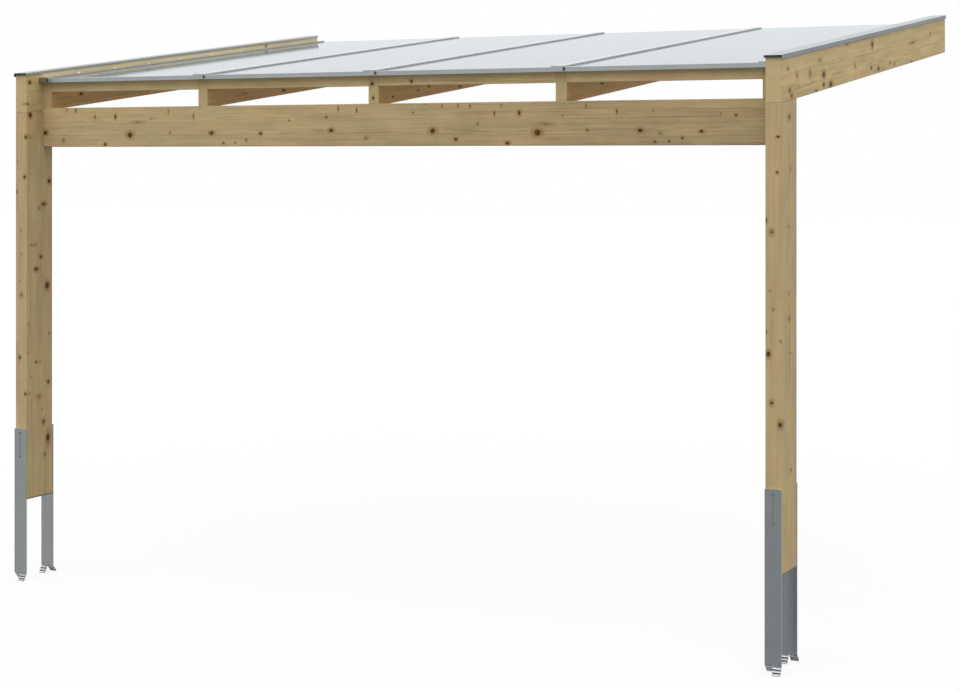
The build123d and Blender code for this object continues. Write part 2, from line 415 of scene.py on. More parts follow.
    rough = tree.ranged(fibre, 0.2, 0.8, 0.55, 0.72)
    height = tree.math("MULTIPLY_ADD", late, -0.35, fibre)
    height = tree.math("MULTIPLY_ADD", inside, 0.25, height)
    tree.add("NodeGroupOutput", {"Colour": colour, "Roughness": rough, "Height": height})
    return group


spruce = make_spruce_group()


def timber_material(name, axes, start, middle, lamella, seed, look, knots):
    """Spruce for one member. axes are its unit vectors along, across from lamella to lamella, and
    through; start is a point on its lower edge and middle one on its middle plane. A knot is a
    place, its three half sizes in the member's axes, and how far it has faded, from 0 to 1."""
    material, tree = new_material(name)
    place = tree.object_place()
    origins = (start, start, middle)
    parts = []
    for axis, origin in zip(axes, origins):
        reach = tree.vector("DOT_PRODUCT", place, tuple(axis))
        parts.append(tree.math("SUBTRACT", reach, origin.dot(axis)))
    member = tree.combine(*parts)
    cores = []
    glows = []
    for spot, halves, fade in knots:
        centre = tuple((spot - origin).dot(axis) for axis, origin in zip(axes, origins))
        away = tree.vector("SUBTRACT", member, centre)
        wide = (halves[0] * GLOW_ALONG, halves[1] * GLOW_ACROSS, halves[2] * GLOW_ACROSS)
        core = tree.vector("LENGTH", tree.vector("DIVIDE", away, halves))
        cores.append(tree.math("ADD", core, fade))
        glow = tree.vector("LENGTH", tree.vector("DIVIDE", away, wide))
        glows.append(tree.math("ADD", glow, fade * GLOW_FADE))
    normal = tree.normal()
    facings = [
        tree.math("ABSOLUTE", tree.vector("DOT_PRODUCT", normal, tuple(axis))) for axis in axes
    ]
    end = tree.math("GREATER_THAN", facings[0], END_FACING)
    # Painted light: faces that look to the open side, above the roof sheets and behind their
    # front, are drawn paler and greyer as if lit by the open sky
    sky_lit = 0.0
    if look["open_side"]:
        sky_lit = tree.vector("DOT_PRODUCT", normal, tuple(look["open_side"]))
        sky_lit = tree.math("GREATER_THAN", sky_lit, SIDE_FACING)
        roof_front = low_of("roof_sheet_1") - start
        run = roof_front.dot(axes[0])
        rise = roof_front.dot(axes[1])
        behind = tree.ranged(parts[0], run, run + SKY_LIT_RUN, smooth=True)
        above = tree.ranged(parts[1], rise, rise + SKY_LIT_RISE, smooth=True)
        sky_lit = tree.math("MULTIPLY", sky_lit, tree.math("MULTIPLY", behind, above))

    # Painted light: rounded edges get painted shade, but those that look up a painted highlight;
    # faces that look down get painted shade too
    straightest = tree.math("MAXIMUM", facings[0], tree.math("MAXIMUM", facings[1], facings[2]))
    rounded = tree.ranged(straightest, 0.985, 0.93, smooth=True)
    lift = tree.separate(normal)[2]
    painted_edge_light = tree.ranged(lift, -0.5, 0.4, PAINTED_EDGE_SHADE, PAINTED_EDGE_HIGHLIGHT)
    painted_underside_shade = tree.ranged(lift, -0.5, -0.9, 1.0, PAINTED_UNDERSIDE_SHADE)
    shade = tree.math("SUBTRACT", painted_edge_light, 1.0)
    shade = tree.math("MULTIPLY_ADD", rounded, shade, painted_underside_shade)
    # Painted shade on the faces that look along X, set for the posts' sides
    side_painted_shade = tree.math("ABSOLUTE", tree.separate(normal)[0])
    side_painted_shade = tree.ranged(side_painted_shade, 0.5, 0.9, 1.0, look["side_shade"])
    shade = tree.math("MULTIPLY", shade, side_painted_shade)
    # Painted shade at the foot of the posts, darkest at the cut end and gone about a centimetre up
    if look["damp_foot"]:
        damp = tree.ranged(parts[0], FOOT_SHADE_BELOW, FOOT_SHADE_TOP, FOOT_PAINTED_SHADE, 1.0)
        shade = tree.math("MULTIPLY", shade, damp)
    inputs = {
        "Member": member,
        "Lamella": lamella,
        "Seed": seed,
        "Knot": tree.least(cores, NO_KNOT),
        "Glow": tree.least(glows, NO_KNOT),
        "Wild": WILD_BESIDE_KNOWN if knots else 1.0,
        "Tone": look["tone"],
        "Drift": look["drift"],
        "Sky Lit": sky_lit,
        "End": end,
        "End Tone": look["end_tone"],
        "Painted Light": shade,
    }
    wood = tree.add("ShaderNodeGroup", inputs, node_tree=spruce).outputs
    tree.finish_principled(
        {
            "Base Color": wood["Colour"],
            "Roughness": wood["Roughness"],
            "Specular IOR Level": WOOD_SPECULAR,
            "Normal": tree.bump(wood["Height"], WOOD_RELIEF),
        }
    )
    return material


# Metals
SPANGLE_CELLS = 85.0
CLOUD = (7.0, 7.0, 7.0)
ROUGHNESS_SPREAD = 0.04


def metal_material(name, colours, roughness, grain, relief=0.0001, rim=1.0, spangle=0.0):
    """Metal with fine drawn lines or spots, scaled by grain, and the faint cells of a zinc coat.
    Its colours are those of its upright faces, then a painted reflection of the sky for faces that
    look up and a painted reflection of the floor for faces that look down. rim is how bright it is
    seen at a low angle."""
    side, upper, under = colours
    material, tree = new_material(name)
    place = tree.object_place()
    lines = tree.noise(place, grain, 3.0, 0.6)
    cloud = tree.noise(place, CLOUD, 3.0)
    tone = tree.ranged(lines, 0.25, 0.75, 0.96, 1.04)
    tone = tree.math("MULTIPLY", tone, tree.ranged(cloud, 0.25, 0.75, 0.95, 1.05))
    if spangle:
        inputs = {"Vector": place, "Scale": SPANGLE_CELLS}
        cell = tree.separate(tree.node("ShaderNodeTexVoronoi", inputs, "Color", feature="F1"))[0]
        cell = tree.ranged(cell, 0.0, 1.0, 1.0 - spangle, 1.0 + spangle)
        tone = tree.math("MULTIPLY", tone, cell)
    # Painted reflection: the colour follows how far the face looks up or down
    lift = tree.separate(tree.normal())[2]
    colour = tree.mix(tree.ranged(lift, 0.25, 0.6, smooth=True), side, upper)
    colour = tree.mix(tree.ranged(lift, -0.05, -0.5, smooth=True), colour, under)
    smoothest = roughness - ROUGHNESS_SPREAD
    roughest = roughness + ROUGHNESS_SPREAD
    tree.finish_principled(
        {
            "Base Color": tree.scaled(colour, tone),
            "Metallic": 1.0,
            "Roughness": tree.ranged(lines, 0.2, 0.8, smoothest, roughest),
            "Specular Tint": (rim, rim, rim, 1.0),
            "Normal": tree.bump(lines, relief),
        }
    )
    return material


# How fine each metal's lines or spots are along X, Y and Z, and what several metals share
SPOTS = (600.0, 600.0, 600.0)
ZINC_GRAIN = (260.0, 260.0, 40.0)
BAR_GRAIN = (900.0, 40.0, 900.0)
EAVE_GRAIN = (40.0, 900.0, 900.0)
CAP_GRAIN = (500.0, 18.0, 500.0)
# Metal colours: upright faces, then painted reflections for faces that look up and down
ZINC_PAINTED_SKY_REFLECTION = srgb(240, 242, 243)
ZINC_FINISH = {"roughness": 0.30, "grain": ZINC_GRAIN, "spangle": 0.015}
BAR_FINISH = {"roughness": 0.08, "grain": BAR_GRAIN, "relief": 0.00001, "rim": 0.85}
CAP_FINISH = {"roughness": 0.22, "grain": CAP_GRAIN, "relief": 0.00003, "rim": 0.7}
pale_zinc = metal_material(
    "pale_zinc", (srgb(138, 141, 141), ZINC_PAINTED_SKY_REFLECTION, srgb(84, 88, 88)), **ZINC_FINISH
)
dark_zinc = metal_material(
    "dark_zinc", (srgb(121, 126, 128), ZINC_PAINTED_SKY_REFLECTION, srgb(72, 76, 78)), **ZINC_FINISH
)
dull_steel = metal_material(
    "dull_steel", (srgb(112, 116, 118), srgb(150, 153, 154), srgb(80, 83, 84)), 0.35, SPOTS
)
bright_steel = metal_material(
    "bright_steel", (srgb(215, 218, 220), srgb(240, 241, 242), srgb(150, 153, 155)), 0.22, SPOTS
)
bar_aluminium = metal_material(
    "bar_aluminium",
    (srgb(190, 190, 188), srgb(204, 209, 211), srgb(140, 144, 146)),
    **BAR_FINISH,
)
# A darker, warmer copy of the bar metal: painted shade and a painted reflection of the wood
painted_shade_aluminium = metal_material(
    "painted_shade_aluminium",
    (srgb(172, 167, 158), srgb(184, 187, 186), srgb(120, 120, 118)),
    **BAR_FINISH,
)
eave_aluminium = metal_material(
    "eave_aluminium",
    (srgb(155, 160, 161), srgb(200, 206, 208), srgb(130, 132, 128)),
    0.28,
    EAVE_GRAIN,
    0.00003,
)
cap_metal = metal_material(
    "cap_metal", (srgb(130, 136, 137), srgb(206, 219, 221), srgb(110, 116, 117)), **CAP_FINISH
)
# A lighter copy of the cap metal: painted light on the left cap
painted_lit_cap_metal = metal_material(
    "painted_lit_cap_metal", (srgb(166, 166, 163), srgb(218, 228, 229), srgb(120, 126, 127)), **CAP_FINISH
)


# Seals and sheets: colours, and how fine their grain or haze is along X, Y and Z
SEAL_COLOUR = srgb(32, 32, 31)
SKIN_COLOUR = srgb(60, 94, 110)
WEB_COLOUR = srgb(214, 222, 228)
SEAL_GRAIN = (900.0, 900.0, 900.0)
SKIN_HAZE = (30.0, 1.2, 30.0)
WEB_HAZE = (3.0, 1.5, 60.0)
SQUARE_ALPHA = 0.22
GRAZING_ALPHA = 0.98


def rubber_material():
    material, tree = new_material("black_seal")
    grain = tree.noise(tree.object_place(), SEAL_GRAIN, 3.0)
    tone = tree.ranged(grain, 0.2, 0.8, 0.8, 1.2)
    tree.finish_principled(
        {
            "Base Color": tree.scaled(SEAL_COLOUR[:3], tone),
            "Roughness": tree.ranged(grain, 0.2, 0.8, 0.6, 0.8),
            "Normal": tree.bump(grain, 0.0001),
        }
    )
    return material


# Twin-wall sheet: clear skins that mirror at a low angle, and milky webs between them
def skin_material():
    material, tree = new_material("clear_skin")
    haze = tree.noise(tree.object_place(), SKIN_HAZE)
    facing = tree.node("ShaderNodeLayerWeight", {"Blend": 0.5}, "Facing")
    tone = tree.ranged(haze, 0.2, 0.8, 0.94, 1.06)
    tree.finish_principled(
        {
            "Base Color": tree.scaled(SKIN_COLOUR[:3], tone),
            "Roughness": tree.ranged(haze, 0.2, 0.8, 0.05, 0.08),
            "Alpha": tree.ranged(facing, 0.6, 0.93, SQUARE_ALPHA, GRAZING_ALPHA, smooth=True),
            "IOR": 1.5,
        }
    )
    return material


def web_material():
    material, tree = new_material("milky_web")
    haze = tree.noise(tree.object_place(), WEB_HAZE)
    tone = tree.ranged(haze, 0.2, 0.8, 0.95, 1.05)
    tree.finish_principled(
        {
            "Base Color": tree.scaled(WEB_COLOUR[:3], tone),
            "Roughness": 0.4,
            "Alpha": 0.7,
        }
    )
    return material


black_seal = rubber_material()
clear_skin = skin_material()
milky_web = web_material()


# Materials and small bevels on the CAD nodes
WELD_DISTANCE = 0.00002
FLAT_ANGLE = math.radians(0.5)
EDGE_ANGLE = math.radians(25.0)
EDGE_SEGMENTS = 2


def dress(node, material, edge):
    """Gives a CAD node its material, and rounds its edges to the radius edge."""
    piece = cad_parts[node]
    piece.data.materials.clear()
    piece.data.materials.append(material)
    weld = piece.modifiers.new("weld", "WELD")
    weld.merge_threshold = WELD_DISTANCE
    flat = piece.modifiers.new("flat", "DECIMATE")
    flat.decimate_type = "DISSOLVE"
    flat.angle_limit = FLAT_ANGLE
    bevel = piece.modifiers.new("bevel", "BEVEL")
    bevel.width = edge
    bevel.segments = EDGE_SEGMENTS
    bevel.limit_method = "ANGLE"
    bevel.angle_limit = EDGE_ANGLE
    normals = piece.modifiers.new("normals", "WEIGHTED_NORMAL")
    normals.weight = 100


def knots_on(axes, face_axis, face_place, spots):
    """Knots on a face of a member that is square to face_axis. A spot is the column and row where
    the photograph shows it, its two half sizes in millimetres, along the grain first, and how far
    it has faded."""
    knots = []
    for column, row, first, second, fade in spots:
        place = point_on(face_axis, face_place, column, row)
        halves = [first / 1000, second / 1000]
        depth_at = max(range(3), key=lambda index: abs(axes[index].dot(face_axis)))
        halves.insert(depth_at, KNOT_DEPTH)
        knots.append((place, tuple(halves), fade))
    return knots


# Height of a lamella, and radius of the rounded edges, for each kind of piece
HEADER_LAMELLA = 0.044
POST_LAMELLA = 0.044
SIDE_RAFTER_LAMELLA = 0.045
RAFTER_LAMELLA = 0.040
LEDGER_LAMELLA = 0.040
BLOCKING_LAMELLA = 0.070
TIMBER_EDGE = 0.003
BLOCKING_EDGE = 0.0015
CAP_EDGE = 0.0009
ANCHOR_EDGE = 0.0018
BAR_EDGE = 0.0015
STOP_EDGE = 0.0012
EAVE_EDGE = 0.0006
SHEET_EDGE = 0.0004
HANGER_EDGE = 0.0005
SEAL_AND_SHADOW_EDGE = 0.0008

# How the wood of a member looks, where nothing else is said
PLAIN_LOOK = {
    "tone": PLAIN_TONE,
    "end_tone": END_GRAIN_TONE,
    "drift": 0.0,
    "side_shade": 1.0,
    "open_side": None,
    "damp_foot": False,
}


def timber(node, along, across, lamella, seed, edge=TIMBER_EDGE, faces=(), **look):
    """Spruce on a CAD node. faces are the seen faces: their axis, their place and their knots.
    look is what differs from PLAIN_LOOK."""
    axes = (along, across, along.cross(across))
    low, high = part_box(node)
    corners = (low, Vector((low.x, high.y, low.z)))
    start = min(corners, key=lambda corner: corner.dot(across))
    knots = []
    for face_axis, face_place, spots in faces:
        knots += knots_on(axes, face_axis, face_place, spots)
    material = timber_material(
        f"wood_{node}",
        axes,
        start,
        middle_of(node),
        lamella,
        seed,
        PLAIN_LOOK | look,
        knots,
    )
    dress(node, material, edge)


# Knots, as the photograph shows them: column, row, half sizes in millimetres, fade
HEADER_KNOTS = (
    (45.5, 132.8, 11, 10, 0.0),
    (130.0, 135.0, 14, 13, 0.0),
    (211.6, 133.0, 10, 9, 0.0),
    (260.5, 133.6, 8, 8, 0.15),
    (331.0, 130.4, 10, 9, 0.0),
    (105.3, 144.4, 7, 8, 0.0),
    (63.5, 140.5, 9, 12, 0.6),
    (170.0, 132.6, 4, 5, 0.4),
    (95.0, 117.2, 4, 10, 0.3),
    (115.4, 116.8, 6, 12, 0.2),
    (151.0, 118.6, 4, 7, 0.7),
    (168.3, 111.5, 3, 18, 0.6),
    (193.5, 116.4, 4, 14, 0.4),
    (75.8, 110.6, 5, 11, 0.4),
    (66.5, 110.0, 4, 10, 0.6),
    (82.0, 127.0, 3, 4, 0.4),
    (138.0, 122.0, 40, 9, 0.95),
    (223.4, 143.2, 7, 6, 0.4),
    (235.2, 142.6, 4, 6, 0.4),
    (246.2, 140.0, 7, 8, 0.6),
    (289.2, 120.6, 5, 6, 0.5),
    (326.2, 117.0, 7, 7, 0.4),
    (338.2, 108.8, 4, 12, 0.4),
    (356.6, 110.4, 4, 10, 0.3),
    (366.0, 138.2, 10, 13, 0.8),
    (413.0, 112.6, 6, 6, 0.6),
    (432.6, 130.9, 12, 11, 0.0),
    (455.7, 139.3, 9, 8, 0.2),
    (507.4, 143.2, 9, 8, 0.05),
    (537.4, 132.5, 16, 14, 0.0),
    (545.0, 124.0, 34, 10, 0.9),
    (477.6, 123.6, 4, 5, 0.3),
    (494.4, 113.0, 4, 10, 0.3),
    (519.2, 112.8, 7, 12, 0.2),
    (442.0, 106.2, 4, 9, 0.6),
    (458.0, 105.6, 4, 9, 0.5),
    (470.0, 106.2, 4, 8, 0.4),
    (501.0, 105.6, 4, 9, 0.6),
    (562.4, 115.4, 4, 6, 0.6),
    (587.6, 130.2, 5, 5, 0.2),
    (586.0, 106.0, 4, 10, 0.6),
    (616.8, 111.4, 4, 12, 0.3),
    (640.2, 130.4, 11, 9, 0.05),
    (654.9, 141.8, 6, 6, 0.2),
    (669.2, 141.2, 5, 6, 0.3),
    (682.4, 137.8, 6, 7, 0.3),
    (660.0, 133.6, 10, 10, 0.8),
    (701.5, 131.3, 9, 7, 0.1),
    (653.4, 110.6, 3, 5, 0.4),
    (720.8, 113.4, 3, 4, 0.4),
    (736.0, 115.2, 6, 8, 0.4),
)
LEFT_POST_FRONT_KNOTS = (
    (25.6, 137.2, 8, 7, 0.1),
    (17.5, 161.7, 5, 6, 0.9),
    (24.5, 177.0, 8, 7, 0.05),
    (16.9, 191.7, 8, 6, 0.4),
    (20.8, 230.0, 8, 9, 0.95),
    (21.7, 254.0, 8, 8, 0.95),
    (19.7, 281.0, 5, 6, 0.9),
    (21.3, 295.0, 12, 13, 0.75),
    (19.7, 357.5, 10, 10, 0.4),
    (25.3, 394.0, 7, 7, 0.1),
)
LEFT_POST_SIDE_KNOTS = (
    (30.3, 115.0, 11, 12, 0.0),
    (49.2, 181.0, 10, 12, 0.1),
    (43.7, 204.0, 9, 18, 0.3),
    (39.2, 208.0, 8, 16, 0.8),
    (31.7, 245.0, 6, 10, 0.7),
    (35.5, 244.5, 6, 10, 0.7),
    (40.8, 256.7, 8, 12, 0.2),
    (36.2, 269.0, 9, 16, 0.15),
    (47.2, 285.3, 16, 15, 0.0),
    (28.8, 323.8, 6, 8, 0.7),
    (49.2, 333.0, 6, 8, 0.7),
    (28.3, 353.0, 5, 8, 0.7),
    (36.2, 362.0, 7, 12, 0.5),
    (40.0, 361.7, 5, 10, 0.9),
    (31.3, 377.5, 5, 8, 0.8),
    (48.3, 381.7, 9, 10, 0.2),
    (39.2, 396.7, 14, 26, 0.95),
    (42.5, 409.0, 6, 8, 0.8),
    (43.6, 421.6, 14, 12, 0.4),
    (47.9, 437.6, 22, 14, 0.1),
    (44.8, 454.0, 10, 10, 0.6),
)
RIGHT_POST_FRONT_KNOTS = (
    (778.0, 136.7, 4, 8, 0.05),
    (777.2, 172.5, 6, 7, 0.35),
    (765.9, 220.5, 9, 5, 0.1),
    (771.7, 232.0, 12, 12, 0.65),
    (770.0, 290.8, 6, 7, 0.95),
    (773.3, 309.7, 6, 5, 0.6),
    (766.7, 331.7, 6, 5, 0.7),
    (780.3, 341.7, 6, 5, 0.7),
    (768.3, 354.0, 10, 9, 0.0),
    (771.7, 403.0, 10, 11, 0.45),
    (780.0, 425.0, 10, 8, 0.0),
)
RIGHT_POST_SIDE_KNOTS = (
    (789.4, 117.0, 12, 20, 0.5),
    (790.5, 169.0, 8, 14, 0.9),
    (789.2, 226.7, 5, 16, 0.8),
    (789.0, 293.0, 10, 14, 0.95),
    (789.2, 319.0, 9, 20, 0.7),
    (790.5, 352.5, 4, 16, 0.9),
    (791.0, 470.0, 8, 12, 0.5),
)
LEFT_RAFTER_SIDE_KNOTS = (
    (29.7, 82.5, 9, 9, 0.0),
    (27.5, 104.0, 7, 7, 0.4),
    (266.0, 45.9, 10, 6, 0.35),
)
RIGHT_RAFTER_SIDE_KNOTS = (
    (823.8, 74.6, 17, 13, 0.05),
    (823.8, 84.6, 14, 11, 0.3),
    (830.8, 84.2, 18, 13, 0.0),
    (872.2, 44.4, 14, 17, 0.1),
    (871.2, 67.8, 12, 9, 0.2),
    (878.5, 68.8, 12, 10, 0.1),
    (894.4, 63.8, 9, 9, 0.4),
    (890.0, 63.0, 12, 8, 0.6),
    (789.9, 90.4, 14, 14, 0.5),
    (791.9, 95.4, 14, 12, 0.4),
    (816.2, 91.0, 14, 6, 0.2),
    (810.0, 73.6, 16, 22, 0.8),
    (797.0, 75.4, 14, 20, 0.8),
    (788.0, 68.5, 12, 9, 0.6),
    (847.0, 43.6, 18, 8, 0.6),
    (855.0, 66.0, 12, 14, 0.85),
    (912.5, 42.6, 60, 9, 0.8),
    (911.9, 61.8, 12, 5, 0.3),
    (820.0, 60.0, 20, 12, 0.9),
    (930.0, 34.0, 14, 16, 0.85),
)
RAFTER_KNOTS = {
    1: ((81.3, 93.6, 11, 7, 0.0), (118.0, 89.6, 14, 5, 0.5)),
    2: ((283.7, 90.2, 12, 6, 0.1), (245.0, 93.0, 10, 5, 0.6)),
    3: (
        (428.9, 85.9, 10, 6, 0.1),
        (459.8, 86.4, 12, 6, 0.1),
        (418.2, 90.4, 10, 6, 0.5),
        (393.2, 96.8, 8, 6, 0.3),
    ),
    4: ((602.0, 83.4, 12, 6, 0.3), (640.0, 79.6, 12, 5, 0.4)),
}
RAFTER_END_KNOTS = {3: ((372.2, 83.8, 9, 9, 0.25), (373.2, 98.0, 9, 7, 0.2))}

# Rafters and bays, counted from the left; hangers carry the rafters between the edge ones
RAFTERS = range(1, 6)
BAYS = range(1, 5)
HUNG_RAFTERS = range(2, 5)

header_front = low_of("header_beam").y
post_front = low_of("left_post").y
left_inner = high_of("left_post").x
right_outer = high_of("right_post").x
timber(
    "header_beam",
    X_AXIS,
    Z_AXIS,
    HEADER_LAMELLA,
    1.0,
    tone=HEADER_TONE,
    drift=HEADER_LIGHT_FALLOFF,
    faces=[(Y_AXIS, header_front, HEADER_KNOTS)],
)
for side, seed, front_knots, seen_x, side_knots in (
    ("left", 2.0, LEFT_POST_FRONT_KNOTS, left_inner, LEFT_POST_SIDE_KNOTS),
    ("right", 3.0, RIGHT_POST_FRONT_KNOTS, right_outer, RIGHT_POST_SIDE_KNOTS),
):
    timber(
        f"{side}_post",
        Z_AXIS,
        Y_AXIS,
        POST_LAMELLA,
        seed,
        side_shade=POST_SIDE_PAINTED_SHADE,
        damp_foot=True,
        faces=[(Y_AXIS, post_front, front_knots), (X_AXIS, seen_x, side_knots)],
    )
for side, seed, open_side, seen_x, side_knots in (
    ("left", 4.0, X_AXIS, left_inner, LEFT_RAFTER_SIDE_KNOTS),
    ("right", 5.0, -X_AXIS, right_outer, RIGHT_RAFTER_SIDE_KNOTS),
):
    timber(
        f"{side}_side_rafter",
        ALONG_SLOPE,
        OFF_SLOPE,
        SIDE_RAFTER_LAMELLA,
        seed,
        tone=SIDE_RAFTER_TONE,
        end_tone=SIDE_END_GRAIN_TONE,
        open_side=open_side,
        faces=[(X_AXIS, seen_x, side_knots)],
    )
for number in RAFTERS:
    node = f"rafter_{number}"
    timber(
        node,
        ALONG_SLOPE,
        OFF_SLOPE,
        RAFTER_LAMELLA,
        5.0 + number,
        tone=RAFTER_TONE_AND_BOUNCE_LIGHT,
        faces=[
            (X_AXIS, high_of(node).x, RAFTER_KNOTS.get(number, ())),
            (Y_AXIS, header_front, RAFTER_END_KNOTS.get(number, ())),
        ],
    )
for number in BAYS:
    node = f"eave_blocking_{number}"
    timber(node, X_AXIS, Z_AXIS, BLOCKING_LAMELLA, 12.0 + number, BLOCKING_EDGE)
timber("wall_ledger", X_AXIS, Z_AXIS, LEDGER_LAMELLA, 18.0)

# Metal and plastic pieces; the first bar, beside the left side rafter, is the darkest one, with
# painted shade and a painted warm reflection of the wood
# The left cap takes the lighter copy of the cap metal: painted light
dress("left_rafter_cap", painted_lit_cap_metal, CAP_EDGE)
dress("right_rafter_cap", cap_metal, CAP_EDGE)
for side, zinc in (("left", pale_zinc), ("right", dark_zinc)):
    for end in ("front", "back"):
        dress(f"{side}_{end}_anchor", zinc, ANCHOR_EDGE)
for number in RAFTERS:
    bar_metal = painted_shade_aluminium if number == 1 else bar_aluminium
    dress(f"glazing_bar_{number}", bar_metal, BAR_EDGE)
    dress(f"end_stop_{number}", eave_aluminium, STOP_EDGE)
for number in BAYS:
    dress(f"eave_profile_{number}", eave_aluminium, EAVE_EDGE)
    dress(f"roof_sheet_{number}", clear_skin, SHEET_EDGE)
for number in HUNG_RAFTERS:
    dress(f"joist_hanger_{number}", pale_zinc, HANGER_EDGE)


# Small pieces
def turned(shape, place, axis, profile, sides=24):
    """Adds a turned form to a bmesh: profile is radius and height pairs, outwards along axis."""
    turn = Matrix.Translation(place) @ axis.to_track_quat("Z", "Y").to_matrix().to_4x4()
    rings = []
    for radius, height in profile:
        count = sides if radius else 1
        ring = []
        for step in range(count):
            angle = 2 * math.pi * step / sides
            point = Vector((radius * math.cos(angle), radius * math.sin(angle), height))
            ring.append(shape.verts.new(turn @ point))
        rings.append(ring)
    for lower, upper in zip(rings, rings[1:]):
        for step in range(sides):
            after = step + 1
            corners = [lower[step % len(lower)], lower[after % len(lower)]]
            corners += [upper[after % len(upper)], upper[step % len(upper)]]
            shape.faces.new(list(dict.fromkeys(corners)))


def slab(shape, x_low, x_high, y_front, y_back, bottom, top):
    """Adds a length that follows the pitch, with plumb ends; bottom and top are at y_front."""
    rise = SLOPE * (y_back - y_front)
    corners = []
    for y, lift in ((y_front, 0.0), (y_back, rise)):
        for x, z in ((x_low, bottom), (x_high, bottom), (x_high, top), (x_low, top)):
            corners.append(shape.verts.new((x, y, z + lift)))
    shape.faces.new(corners[:4])
    shape.faces.new(corners[:3:-1])
    for step in range(4):
        after = (step + 1) % 4
        ring = (step, step + 4, after + 4, after)
        shape.faces.new([corners[index] for index in ring])


SHARP_ANGLE = math.radians(32.0)


def finish_piece(shape, name, material, edge=0.0):
    """Makes an object of a bmesh, with sharp edges kept sharp, and sets it on the body."""
    bmesh.ops.recalc_face_normals(shape, faces=shape.faces)
    mesh = bpy.data.meshes.new(name)
    shape.to_mesh(mesh)
    shape.free()
    mesh.materials.append(material)
    mesh.shade_smooth()
    mesh.set_sharp_from_angle(angle=SHARP_ANGLE)
    piece = bpy.data.objects.new(name, mesh)
    bpy.context.scene.collection.objects.link(piece)
    if edge:
        bevel = piece.modifiers.new("bevel", "BEVEL")
        bevel.width = edge
        bevel.segments = EDGE_SEGMENTS
    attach(piece, "root")


# Profiles as radius and height pairs: a bolt's in shares of its head's radius, a screw's in
# shares of its own radius and height
WASHER = ((1.5, 0.0), (1.5, 0.24), (1.42, 0.30), (0.0, 0.30))
BOLT_HEAD = ((1.0, 0.30), (1.0, 0.78), (0.84, 0.92), (0.0, 0.95))
PAN_HEAD = (
    (1.0, 0.0),
    (1.0, 0.35),
    (0.88, 0.75),
    (0.6, 1.0),
    (0.36, 1.0),
    (0.26, 0.45),
    (0.0, 0.40),
)


def sized(profile, radius, height):
    return [(radius * wide, height * high) for wide, high in profile]


def hex_bolt(shape, place, axis, size):
    """A washer and a chamfered hexagon head; size is the radius of the head's corners."""
    turned(shape, place, axis, sized(WASHER, size, size))
    turned(shape, place, axis, sized(BOLT_HEAD, size, size), 6)


def pan_screw(shape, place, axis, size, height):
    """A flat round head with a rounded rim and a small recess."""
    turned(shape, place, axis, sized(PAN_HEAD, size, height))


# Anchor bolts through the plates, two in each, with a pressed bead between them
ANCHOR_THICKNESS = 0.010
BOLT_DROPS = (0.023, 0.156)
BOLT_SIZE = 0.0046
BEAD_HALF = 0.0032
BEAD_RISE = 0.0008
BEAD_TAPER = 0.004
BEAD_TIP = 0.4
BEAD_STEPS = 6
for side in ("left", "right"):
    post_middle_x = middle_of(f"{side}_post").x
    for end, outwards, face_y in (
        ("front", -Y_AXIS, low_of(f"{side}_post").y - ANCHOR_THICKNESS),
        ("back", Y_AXIS, high_of(f"{side}_post").y + ANCHOR_THICKNESS),
    ):
        plate_top = high_of(f"{side}_{end}_anchor").z
        bolts = bmesh.new()
        for drop in BOLT_DROPS:
            hex_bolt(bolts, Vector((post_middle_x, face_y, plate_top - drop)), outwards, BOLT_SIZE)
        finish_piece(bolts, f"{side}_{end}_anchor_bolts", dull_steel)
        bead = bmesh.new()
        bead_low = plate_top - BOLT_DROPS[1] + 2 * BOLT_SIZE
        bead_high = plate_top - BOLT_DROPS[0] - 2 * BOLT_SIZE
        rows = []
        for z in (bead_low, bead_low + BEAD_TAPER, bead_high - BEAD_TAPER, bead_high):
            at_end = z in (bead_low, bead_high)
            row = []
            for step in range(BEAD_STEPS + 1):
                angle = math.pi * step / BEAD_STEPS
                rise = 0.0 if at_end else BEAD_RISE * math.sin(angle)
                reach = BEAD_HALF * math.cos(angle) * (BEAD_TIP if at_end else 1.0)
                spot = (post_middle_x + reach, face_y + outwards.y * rise, z)
                row.append(bead.verts.new(spot))
            rows.append(row)
        for lower, upper in zip(rows, rows[1:]):
            for step in range(BEAD_STEPS):
                bead.faces.new((lower[step], lower[step + 1], upper[step + 1], upper[step]))
        finish_piece(bead, f"{side}_{end}_anchor_bead", dull_steel)

